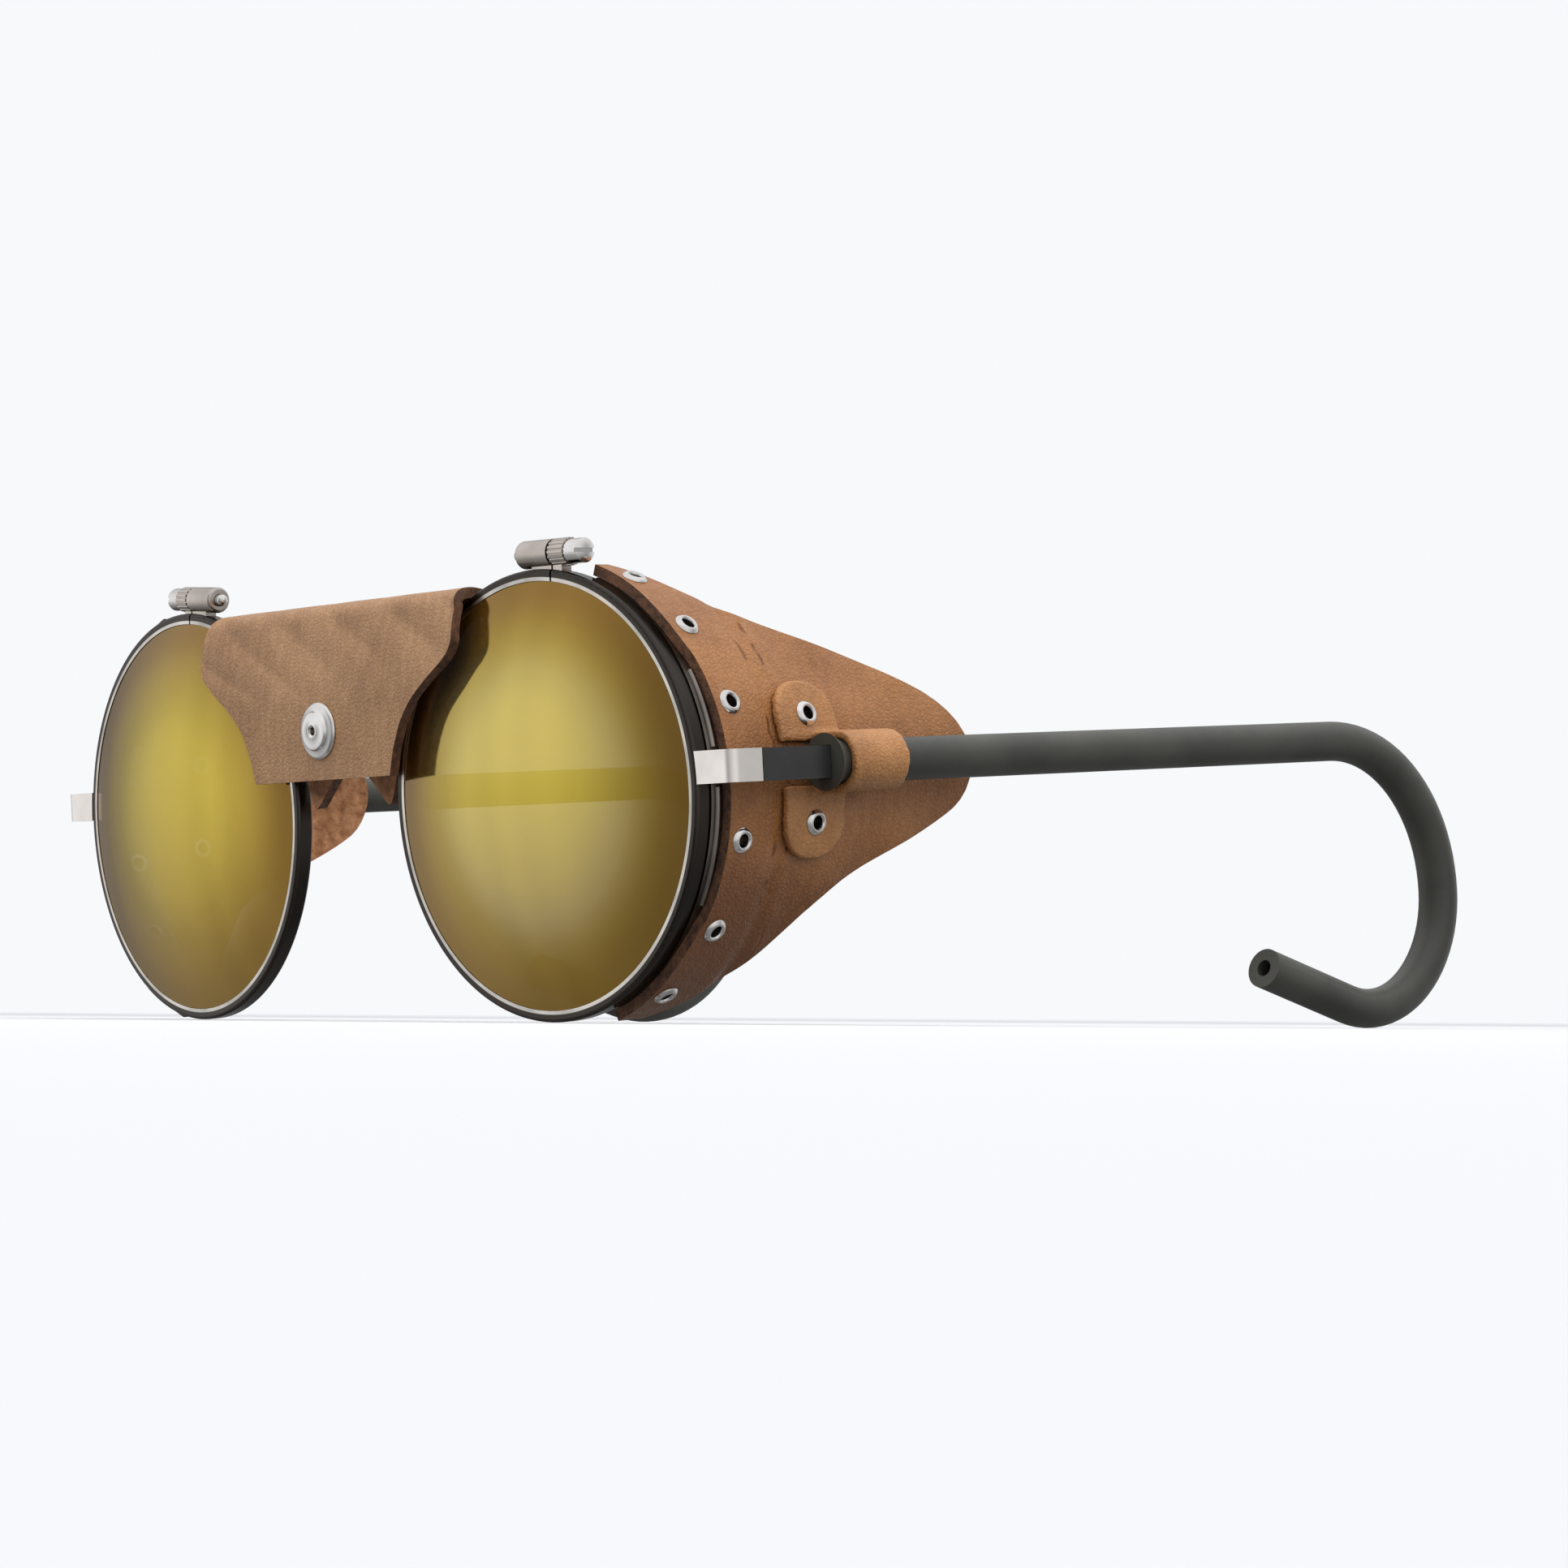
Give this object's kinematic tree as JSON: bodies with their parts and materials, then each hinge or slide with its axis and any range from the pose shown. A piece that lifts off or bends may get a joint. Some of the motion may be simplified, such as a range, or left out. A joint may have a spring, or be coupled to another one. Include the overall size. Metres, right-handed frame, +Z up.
{
  "type": "glacier glasses",
  "caption": "Round-lens mountain sunglasses with leather side shields, a snap-closed leather nose flap, folding temples with curled ear hooks and screw-locked rims.",
  "frame": {"origin": "bottom centre of the glasses as they stand on a surface with the temples open", "axes": "+X to the wearer's left, -Y out of the front of the lenses, +Z up"},
  "size_m": [0.1426, 0.1334, 0.0559],
  "materials": {
    "nickel": "polished",
    "satin_nickel": "satin",
    "lens_glass": "mirror coated",
    "brown_leather": "smooth",
    "tan_leather": "smooth",
    "black_rubber": "matte",
    "wire": "plain"
  },
  "bodies": {
    "front": {"rim_left": "nickel", "lens_left": "lens_glass", "lock_barrel_left": "nickel", "lock_nut_left": "nickel", "end_piece_left": "satin_nickel", "hinge_screw_left": "nickel", "shield_band_left": "satin_nickel", "side_shield_left": "brown_leather", "shield_eyelets_left": "nickel", "rim_right": "nickel", "lens_right": "lens_glass", "lock_barrel_right": "nickel", "lock_nut_right": "nickel", "end_piece_right": "satin_nickel", "hinge_screw_right": "nickel", "shield_band_right": "satin_nickel", "side_shield_right": "brown_leather", "shield_eyelets_right": "nickel", "bridge_bar": "nickel", "nose_flap": "tan_leather", "snap_stud": "nickel", "snap_rivet": "nickel"},
    "temple_left": {"temple_bar_left": "satin_nickel", "temple_core_left": "wire", "temple_sleeve_left": "black_rubber", "loop_strap_left": "brown_leather", "loop_eyelets_left": "nickel"},
    "temple_right": {"temple_bar_right": "satin_nickel", "temple_core_right": "wire", "temple_sleeve_right": "black_rubber", "loop_strap_right": "brown_leather", "loop_eyelets_right": "nickel"},
    "flap": {"snap_cap": "nickel", "snap_socket": "nickel"},
    "lock_screw_left": {"lock_screw_left": "nickel"},
    "lock_screw_right": {"lock_screw_right": "nickel"}
  },
  "joints": [
    {"name": "temple_left_fold", "type": "hinge", "parent": "front", "child": "temple_left", "pos_m": [0.0666, -0.0537, 0.02879], "axis": [0, -0.0778, 0.997], "range_deg": [0, 86.5], "deforming": ["side_shield_left", "loop_strap_left", "loop_eyelets_left"]},
    {"name": "temple_right_fold", "type": "hinge", "parent": "front", "child": "temple_right", "pos_m": [-0.0666, -0.0537, 0.02879], "axis": [0, 0.0778, -0.997], "range_deg": [0, 64], "deforming": ["side_shield_right", "loop_strap_right", "loop_eyelets_right"]},
    {"name": "nose_flap_open", "type": "hinge", "parent": "front", "child": "flap", "pos_m": [0, -0.06367, 0.05043], "axis": [-1, 0, 0], "range_deg": [0, 110], "deforming": ["nose_flap"]},
    {"name": "lock_screw_left_turn", "type": "hinge", "parent": "front", "child": "lock_screw_left", "pos_m": [0.04012, -0.0605, 0.05413], "axis": [0.9984, 0.0558, -0.0132], "continuous": true},
    {"name": "lock_screw_right_turn", "type": "hinge", "parent": "front", "child": "lock_screw_right", "pos_m": [-0.03425, -0.06082, 0.05407], "axis": [-0.9954, 0.0482, 0.0825], "continuous": true}
  ]
}
